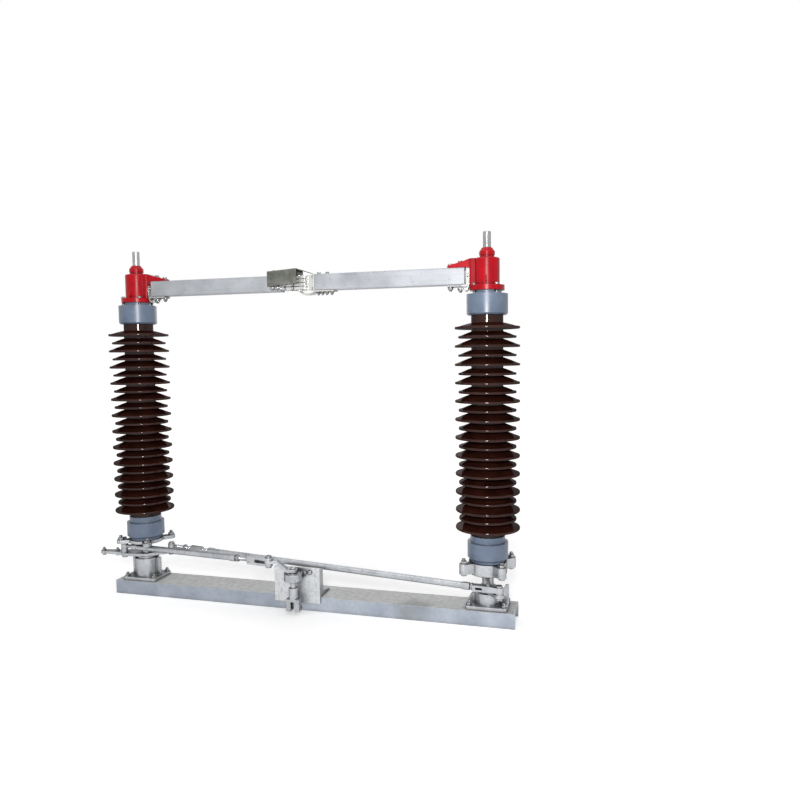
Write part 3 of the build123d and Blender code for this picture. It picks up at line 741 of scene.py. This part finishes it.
def cap_paint():
    """Blue-grey enamel on cast iron, a little uneven, rubbed at the edges, with painted shade in the
    corners.
    """
    paint = Paint("cap_paint")
    cloud = paint.noise(*cap_cloud)
    colour = paint.ramp(cloud, *cap_levels, (0.112, 0.150, 0.215), (0.165, 0.210, 0.292))
    dust = paint.mask(paint.noise(*cap_dust), *cap_dust_levels)
    pale = paint.ramp(cloud, *usual_levels, (0.20, 0.238, 0.30), (0.26, 0.298, 0.36))
    colour = paint.blend(dust, colour, pale)
    colour = paint.blend(paint.edges(cap_wear), colour, pale)
    # Painted shade in the corners
    dark = paint.ramp(cloud, *usual_levels, (0.03, 0.036, 0.046), (0.05, 0.060, 0.075))
    colour = paint.blend(paint.hollows(cap_shade_reach), colour, dark)
    paint.relief(paint.noise(*cap_grit), *cap_relief)
    roughness = paint.span(cloud, *cap_roughness)
    return paint.settle(colour, roughness, Specular_IOR_Level=0.50)


def porcelain_glaze():
    """Dark brown body under a clear glaze, redder in clouds and on the rims, with pin holes."""
    paint = Paint("porcelain_glaze")
    cloud = paint.noise(*glaze_cloud)
    wave = paint.noise(*glaze_wave)
    colour = paint.ramp(cloud, *glaze_levels, (0.0160, 0.0042, 0.0030), (0.042, 0.0115, 0.0072))
    specks = paint.mask(paint.noise(*glaze_specks), *glaze_speck_levels)
    rust = paint.ramp(wave, *usual_levels, (0.045, 0.014, 0.008), (0.070, 0.022, 0.012))
    colour = paint.blend(specks, colour, rust)
    thin = paint.ramp(wave, *usual_levels, (0.062, 0.018, 0.011), (0.090, 0.028, 0.018))
    colour = paint.blend(paint.edges(glaze_wear), colour, thin)
    paint.relief(wave, *glaze_relief)
    glaze = {"Coat_Weight": 0.08, "Coat_IOR": 3.0, "Coat_Roughness": 0.08}
    roughness = paint.span(cloud, *glaze_roughness)
    return paint.settle(colour, roughness, Specular_IOR_Level=0.0, **glaze)


def housing_paint():
    """Red enamel over a casting, with dust, rubbed edges and painted shade in the corners."""
    paint = Paint("housing_paint")
    cloud = paint.noise(*housing_cloud)
    colour = paint.ramp(cloud, *usual_levels, (0.36, 0.002, 0.008), (0.52, 0.004, 0.014))
    streak = paint.noise(*housing_streak)
    runs = paint.ramp(streak, *housing_run_levels, (0.26, 0.001, 0.005), (0.58, 0.006, 0.016))
    colour = paint.blend(housing_run_share, colour, runs)
    dust = paint.mask(paint.noise(*housing_dust), *housing_dust_levels)
    pale = paint.ramp(cloud, *usual_levels, (0.54, 0.03, 0.035), (0.64, 0.05, 0.055))
    colour = paint.blend(dust, colour, pale)
    colour = paint.blend(paint.edges(housing_wear), colour, pale)
    # Painted shade in the corners
    dark = paint.ramp(cloud, *usual_levels, (0.09, 0.002, 0.004), (0.15, 0.003, 0.007))
    colour = paint.blend(paint.hollows(housing_shade_reach), colour, dark)
    paint.relief(paint.noise(*housing_grit), *housing_relief)
    roughness = paint.span(cloud, *housing_roughness)
    return paint.settle(colour, roughness, Specular_IOR_Level=0.18)


def arm_aluminium():
    """Extruded aluminium: lines along the arm, handling marks, a dull oxide, and painted shade in the
    corners and along the edges.
    """
    paint = Paint("arm_aluminium")
    lines = paint.noise(*arm_lines)
    cloud = paint.noise(*arm_cloud)
    colour = paint.ramp(lines, *usual_levels, (0.36, 0.375, 0.405), (0.46, 0.475, 0.505))
    oxide = paint.ramp(cloud, *arm_oxide_levels, (0.28, 0.295, 0.32), (0.54, 0.555, 0.585))
    colour = paint.blend(arm_oxide_share, colour, oxide)
    marks = paint.mask(paint.noise(*arm_marks), *arm_mark_levels)
    dark = paint.ramp(cloud, *usual_levels, (0.25, 0.26, 0.28), (0.36, 0.37, 0.39))
    colour = paint.blend(marks, colour, dark)
    # Painted shade in the corners and along the edges
    shade = paint.ramp(lines, *usual_levels, (0.20, 0.20, 0.20), (0.28, 0.28, 0.28))
    colour = paint.blend(paint.hollows(arm_shade_reach), colour, shade)
    colour = paint.blend(paint.edges(arm_edge_shade_width), colour, shade)
    paint.relief(lines, *arm_relief)
    roughness = paint.span(cloud, *arm_roughness)
    return paint.settle(colour, roughness, Metallic=0.30)


def contact_metal():
    """Silvered copper, bright with warm tarnish in patches and painted shade in the gaps."""
    paint = Paint("contact_metal")
    cloud = paint.noise(*contact_cloud)
    fine = paint.noise(*contact_fine)
    colour = paint.ramp(fine, *usual_levels, (0.58, 0.58, 0.57), (0.76, 0.76, 0.75))
    warm = paint.ramp(fine, *usual_levels, (0.42, 0.385, 0.34), (0.56, 0.52, 0.46))
    colour = paint.blend(paint.mask(cloud, *contact_tarnish_levels), colour, warm)
    # Painted shade in the gaps
    dark = paint.ramp(fine, *usual_levels, (0.02, 0.019, 0.017), (0.05, 0.047, 0.042))
    colour = paint.blend(paint.hollows(contact_shade_reach), colour, dark)
    paint.relief(fine, *contact_relief)
    edge_tint = (0.30, 0.29, 0.28, 1)
    roughness = paint.span(cloud, *contact_roughness)
    return paint.settle(colour, roughness, Metallic=0.60, Specular_Tint=edge_tint)


def hood_paint():
    """Olive-grey paint on sheet, weathered and chalky."""
    paint = Paint("hood_paint")
    cloud = paint.noise(*hood_cloud)
    colour = paint.ramp(cloud, *hood_levels, (0.095, 0.100, 0.086), (0.190, 0.195, 0.172))
    chalk = paint.mask(paint.noise(*hood_chalk), *hood_chalk_levels)
    pale = paint.ramp(cloud, *usual_levels, (0.22, 0.225, 0.205), (0.29, 0.295, 0.275))
    colour = paint.blend(chalk, colour, pale)
    colour = paint.blend(paint.edges(hood_wear), colour, pale)
    paint.relief(paint.noise(*hood_grit), *hood_relief)
    roughness = paint.span(cloud, *hood_roughness)
    return paint.settle(colour, roughness, Specular_IOR_Level=0.30)


makers = (
    galvanised_steel,
    cast_zinc,
    plate_zinc,
    bright_steel,
    cap_paint,
    porcelain_glaze,
    housing_paint,
    arm_aluminium,
    contact_metal,
    hood_paint,
)
materials = {maker.__name__: maker() for maker in makers}

# Solids get the finish of their slot, but zinc off the beam is brighter and the studs are steel
for name, node in frame["nodes"].items():
    for place in node.material_slots:
        finish = place.material.name.split(".")[0]
        if finish == "galvanised_steel" and name != "base_channel":
            finish = "plate_zinc" if name == "drive_bracket" else "cast_zinc"
        if name.endswith("_terminal_stud"):
            finish = "bright_steel"
        place.material = materials[finish]


def shed_outline(radius, rise, z):
    """Points of one shed: hollow underside with a drip edge, round rim and bell-shaped top."""
    reach = radius - shed_core
    half = shed_edge / 2
    rim = half * rim_share
    belly, lift = shed_belly_shares
    root = core_round * core_round_share
    points = [
        (shed_core, z + shed_undercut - core_round),
        (shed_core + root, z + shed_undercut - root),
        (shed_core + core_round, z + shed_undercut),
        (shed_core + reach * belly, z + shed_undercut * lift),
        (radius - 2 * drip_width, z - half + drip_depth),
        (radius - drip_width, z - half),
    ]
    for turn in rim_turns:
        points.append((radius - rim + rim * cos(radians(turn)), z + half * sin(radians(turn))))
    for share, lift in shed_top_shares:
        points.append((shed_core + share * reach, z + lift * rise))
    return points + [(shed_core, z + rise)]


def porcelain(side, axis):
    """Glazed insulator as a smooth lathe."""
    low, high = (corner.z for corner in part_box(side + "_porcelain"))
    plug = shed_core - core_fit
    outline = [(0, low), (plug, low), (plug, lower_cap_top), (shed_core, lower_cap_top + core_fit)]
    pitch = (porcelain_top - lower_cap_top - shed_low_margin - shed_high_margin) / (shed_count - 1)
    for index in range(shed_count):
        z = lower_cap_top + shed_low_margin + index * pitch
        if index < shed_count - 1:
            outline += shed_outline(shed_radius, shed_rise, z)
            outline += shed_outline(small_shed_radius, small_shed_rise, z + pitch / 2)
        else:
            outline += shed_outline(shed_radius, top_shed_rise, z)
    outline += [(shed_core, porcelain_top - core_fit), (plug, porcelain_top), (plug, high), (0, high)]
    mesh = bmesh.new()
    lathe(mesh, outline, lathe_sides, spin_about(axis, 0))
    finish_piece(mesh, side + "_insulator", side + "_column", "porcelain_glaze", [side + "_porcelain"])


def round_places(axis, count, first_angle, radius, height):
    """Places evenly spread round an upright axis."""
    for index in range(count):
        yield spin_about(axis, first_angle + index * full_turn / count) @ at(radius, 0, height)


def lug_bolts(mesh, axis):
    """Bolts through the four lugs."""
    for place in round_places(axis, lug_count, lug_angle, lug_circle, lug_top):
        stud_nut(mesh, place, lug_size)


def lug_nuts(mesh, axis):
    """Flat nuts under the deep lugs of the right turntable."""
    for place in round_places(axis, lug_count, lug_angle, lug_circle, lug_top):
        hexagon(mesh, bolt_radius * lug_size, lug_nut_height, flipped(raised(place, -lug_depth)))


def flange_bolts(mesh, axis):
    """Bolts round the foot of a terminal housing, with their threads bare between flange and cap."""
    for place in round_places(axis, flange_count, flange_angle, flange_circle, 0):
        bolt(mesh, raised(place, flange_top), flange_size)
        thread(mesh, bolt_thread, ring_height, raised(place, flange_low - ring_height))
        hexagon(mesh, bolt_radius * flange_size, ring_height / 2, raised(place, flange_low - ring_height))


def beak_bolts(mesh, frame_place):
    """Bolts that draw the clamp plate up against the arm and the beak."""
    slope = (beak_tip_height - beak_knee_height) / (beak_tip - beak_knee)
    for reach in beak_bolt_reaches:
        top = arm_high + beak_knee_height + slope * (reach - beak_knee) - beak_sink
        bolt(mesh, frame_place @ at(reach, 0, top), beak_size)
        low = clamp_low - (strap_layers * strap_pitch if reach < strap_reaches[-1] else 0)
        stud_nut(mesh, flipped(frame_place @ at(reach, 0, low)), beak_size, beak_thread)


def strap(side, frame_place):
    """Laminated strap that carries the current from the housing to the arm."""
    points = [Vector((x, 0, arm_low + z)) for x, z in zip(strap_reaches, strap_heights)]
    line = smooth(points, strap_steps)
    mesh = bmesh.new()
    for layer in range(strap_layers):
        shift = (layer - (strap_layers - 1) / 2) * strap_pitch
        ribbon(mesh, line, shift, strap_width, strap_sheet, frame_place)
    finish_piece(mesh, side + "_strap", side + "_column", "contact_metal")


def strap_screw(mesh, frame_place):
    """Screw that holds the strap to the housing block."""
    outer = strap_reaches[0] + strap_layers * strap_pitch / 2
    bolt(mesh, endways(frame_place @ at(outer, 0, arm_low + strap_screw_height), 1), strap_screw_size)


def seat_bolts(mesh, axis):
    """Bolts that hold a bearing seat to the base, with nuts under the web."""
    for x in (-seat_bolt_x, seat_bolt_x):
        for y in (-seat_bolt_y, seat_bolt_y):
            place = at(axis.x + x, axis.y + y, beam_top + seat_plate)
            stud_nut(mesh, place, seat_bolt_size)
            hexagon(mesh, bolt_radius, bolt_height, flipped(raised(place, -seat_plate - web_depth)))


def stop_bolts(mesh):
    """Bolts on the stop arm of the left lever."""
    for reach in stop_reaches:
        place = spin_about(left_axis, stop_angle) @ at(reach, 0, lever_low + lever_thickness)
        stud_nut(mesh, place, stop_size)
        bolt(mesh, flipped(raised(place, -lever_thickness)), stop_size)


def jaw_fittings(mesh):
    """Screws at the roots of the fingers, and springs that press the fingers together."""
    for index in range(finger_count):
        z = arm_middle + (index - (finger_count - 1) / 2) * finger_pitch
        for side in (-1, 1):
            bolt(mesh, facing(at(finger_screw_x, side * finger_face, z), side), finger_screw_size)
            place = facing(at(spring_x, side * finger_face, z), side)
            coil(mesh, spring_radius, spring_wire, spring_turns, spring_length, place)
            hexagon(mesh, spring_nut, spring_nut_height, raised(place, spring_length))
    for x, height in arm_screw_places:
        for side in (-1, 1):
            bolt(mesh, facing(at(x, -side * arm_front, arm_low + height), side), arm_screw_size)


def hood_screws(mesh):
    """Screws that hold the hood on its saddle."""
    low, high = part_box("contact_hood")
    for side in (-1, 1):
        top = high.z - hood_fall + hood_slope * hood_screw_back
        bolt(mesh, at(low.x + hood_screw_back, side * hood_screw_y, top), hood_screw_size)


def head_fittings(mesh):
    """Bolts of the contact head, and those of the guide plate through the end of the right arm."""
    flange_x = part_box("right_arm")[0].x - head_flange
    guide_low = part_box("contact_guide")[1].z - guide_sheet
    for y in (-head_bolt_y, head_bolt_y):
        for z in (-head_bolt_z, head_bolt_z):
            bolt(mesh, endways(at(flange_x, y, arm_middle + z), -1), head_bolt_size)
    for x in guide_bolts:
        stud_nut(mesh, flipped(at(x, 0, guide_low)), guide_bolt_size)
    for x in arm_top_bolts:
        bolt(mesh, at(x, 0, arm_high), guide_bolt_size)


def bracket_fittings(mesh):
    """Bolts on the drive bracket and the lip round the bearing's mouth."""
    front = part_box("drive_bracket")[0].y
    for x, z in bracket_bolts:
        bolt(mesh, facing(at(x, front, z), -1), bracket_bolt_size)
    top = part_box("drive_bearing")[1].z
    lathe(mesh, collar_outline, lathe_sides, at(shaft_axis.x, shaft_axis.y, top), True)


def shaft_fittings(mesh):
    """Domed end of the drive shaft and the bushes of the coupling's straps."""
    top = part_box("drive_shaft")[1].z
    lathe(mesh, dome_outline, round_sides, at(shaft_axis.x, shaft_axis.y, top))
    for side in (-1, 1):
        place = at(shaft_axis.x + side * bush_reach, shaft_axis.y, bush_height)
        lathe(mesh, bush_outline, round_sides, endways(place, side), True)


def rod_thread(mesh, start, end, reach):
    """Thread on a rod's shank between two distances from its pivot."""
    thread(mesh, shank_thread, reach[1] - reach[0], along(start, end, reach[0]))


def rod_nut(mesh, start, end, reach, radius):
    """Nut on a rod between two distances from its pivot."""
    hexagon(mesh, radius, reach[1] - reach[0], along(start, end, reach[0]))


shaft_axis = node_centre("drive_shaft")
cross_left = pivot("cross_link_pivot")
cross_right = node_centre("cross_link_bolt")
cross_right.z = node_centre("cross_link_right_eye").z
drive_left = pivot("drive_link_pivot")
drive_right = node_centre("crank_pin")
drive_right.z = node_centre("drive_link_fork").z

porcelain("left", left_axis)
porcelain("right", right_axis)

base_bolts = bmesh.new()
seat_bolts(base_bolts, left_axis)
seat_bolts(base_bolts, right_axis)
bracket_fittings(base_bolts)
finish_piece(base_bolts, "base_bolts", "base", "bright_steel")

for side, axis, turn in (("left", left_axis, 0), ("right", right_axis, half_turn)):
    inward = spin_about(axis, turn)
    column_bolts = bmesh.new()
    lug_bolts(column_bolts, axis)
    flange_bolts(column_bolts, axis)
    beak_bolts(column_bolts, inward)
    strap_screw(column_bolts, inward)
    if side == "left":
        stop_bolts(column_bolts)
        jaw_fittings(column_bolts)
        hood_screws(column_bolts)
    else:
        lug_nuts(column_bolts, axis)
        head_fittings(column_bolts)
    finish_piece(column_bolts, side + "_column_bolts", side + "_column", "bright_steel")
    strap(side, inward)

shaft_end = bmesh.new()
shaft_fittings(shaft_end)
finish_piece(shaft_end, "shaft_fittings", "drive_shaft", "bright_steel")

cross_fittings = bmesh.new()
rod_thread(cross_fittings, cross_left, cross_right, cross_thread)
rod_nut(cross_fittings, cross_left, cross_right, cross_nut, cross_nut_radius)
rod_nut(cross_fittings, cross_left, cross_right, cross_sleeve, cross_sleeve_radius)
rod_nut(cross_fittings, cross_right, cross_left, cross_lock, cross_nut_radius)
block = along(cross_right, cross_left, cross_block_bolt).translation
block_top = at(block.x, block.y, cross_right.z + cross_block_top)
stud_nut(cross_fittings, block_top, cross_block_size)
finish_piece(cross_fittings, "cross_link_fittings", "cross_link", "bright_steel")

drive_fittings = bmesh.new()
rod_thread(drive_fittings, drive_right, drive_left, drive_thread)
for reach in drive_nuts:
    rod_nut(drive_fittings, drive_right, drive_left, reach, drive_nut_radius)
finish_piece(drive_fittings, "drive_link_fittings", "drive_link", "bright_steel")


def lamp(name, place, target, size, power):
    """Square soft lamp turned to a target."""
    data = bpy.data.lights.new(name, "AREA")
    data.shape = "SQUARE"
    data.size = size
    data.energy = power
    obj = bpy.data.objects.new(name, data)
    bpy.context.scene.collection.objects.link(obj)
    obj.location = place
    obj.rotation_euler = (Vector(target) - Vector(place)).to_track_quat("-Z", "Y").to_euler()


lamp("key_lamp", key_place, key_target, key_size, key_power)
lamp("top_lamp", top_place, top_target, top_size, top_power)
lamp("back_lamp", back_place, back_target, back_size, back_power)


def worked_out(tree, operation, *sources):
    """Output of a node that works out one number from others."""
    node = tree.nodes.new("ShaderNodeMath")
    node.operation = operation
    for index, source in enumerate(sources):
        tree.links.new(source, node.inputs[index])
    return node.outputs["Value"]


def sight_rays(tree):
    """Output that is 1 for rays that show the surroundings: straight, mirrored or through glass."""
    path = tree.nodes.new("ShaderNodeLightPath").outputs
    opaque = worked_out(tree, "MAXIMUM", path["Is Camera Ray"], path["Is Glossy Ray"])
    return worked_out(tree, "MAXIMUM", opaque, path["Is Transmission Ray"])


world = bpy.data.worlds.new("studio")
bpy.context.scene.world = world
world.use_nodes = True
sky = world.node_tree
ambient = sky.nodes["Background"]
ambient.inputs["Color"].default_value = white_colour
ambient.inputs["Strength"].default_value = ambient_strength
white = sky.nodes.new("ShaderNodeBackground")
white.inputs["Color"].default_value = white_colour
white.inputs["Strength"].default_value = white_strength
sky_mix = sky.nodes.new("ShaderNodeMixShader")
sky.links.new(sight_rays(sky), sky_mix.inputs["Fac"])
sky.links.new(ambient.outputs["Background"], sky_mix.inputs[1])
sky.links.new(white.outputs["Background"], sky_mix.inputs[2])
sky.links.new(sky_mix.outputs["Shader"], sky.nodes["World Output"].inputs["Surface"])

# Pale floor that takes the shadow, and glows more the farther it runs, up to the white behind it
floor_mesh = bpy.data.meshes.new("floor")
corners = [Vector((x, y, 0)) for x, y in square_corners]
floor_mesh.from_pydata([corner * floor_half for corner in corners], [], [(0, 1, 2, 3)])
floor = bpy.data.objects.new("floor", floor_mesh)
bpy.context.scene.collection.objects.link(floor)
floor_paint = bpy.data.materials.new("floor")
floor_paint.use_nodes = True
ground = floor_paint.node_tree
matt = ground.nodes["Principled BSDF"]
matt.inputs["Base Color"].default_value = floor_albedo
matt.inputs["Roughness"].default_value = floor_roughness
matt.inputs["Specular IOR Level"].default_value = floor_specular
spot = ground.nodes.new("ShaderNodeNewGeometry")
distance = ground.nodes.new("ShaderNodeVectorMath")
distance.operation = "LENGTH"
ground.links.new(spot.outputs["Position"], distance.inputs[0])
fade = ground.nodes.new("ShaderNodeMapRange")
fade.inputs["From Min"].default_value = floor_near
fade.inputs["From Max"].default_value = floor_far
ground.links.new(distance.outputs["Value"], fade.inputs["Value"])
lift = ground.nodes.new("ShaderNodeMapRange")
lift.inputs["To Min"].default_value = floor_near_glow
lift.inputs["To Max"].default_value = floor_far_glow
ground.links.new(worked_out(ground, "SQRT", fade.outputs["Result"]), lift.inputs["Value"])
glow_level = worked_out(ground, "MULTIPLY", sight_rays(ground), lift.outputs["Result"])
glow = ground.nodes.new("ShaderNodeEmission")
glow.inputs["Color"].default_value = white_colour
ground.links.new(glow_level, glow.inputs["Strength"])
both = ground.nodes.new("ShaderNodeAddShader")
ground.links.new(matt.outputs["BSDF"], both.inputs[0])
ground.links.new(glow.outputs["Emission"], both.inputs[1])
ground.links.new(both.outputs["Shader"], ground.nodes["Material Output"].inputs["Surface"])
floor_mesh.materials.append(floor_paint)

# Camera at the photograph's place, turned by its yaw, pitch and roll
yaw = radians(camera_yaw)
pitch = radians(camera_pitch)
roll = radians(camera_roll)
ahead = Vector((-sin(yaw) * cos(pitch), cos(yaw) * cos(pitch), -sin(pitch)))
level = Vector((cos(yaw), sin(yaw), 0))
down = ahead.cross(level)
image_right = level * cos(roll) + down * sin(roll)
image_up = level * sin(roll) - down * cos(roll)
camera_data = bpy.data.cameras.new("camera")
camera_data.lens = camera_lens
camera_data.sensor_width = camera_sensor
camera = bpy.data.objects.new("camera", camera_data)
bpy.context.scene.collection.objects.link(camera)
turned = Matrix((image_right, image_up, -ahead)).transposed().to_4x4()
camera.matrix_world = Matrix.Translation(camera_place) @ turned
bpy.context.scene.camera = camera
bpy.context.scene.view_settings.view_transform = "Standard"
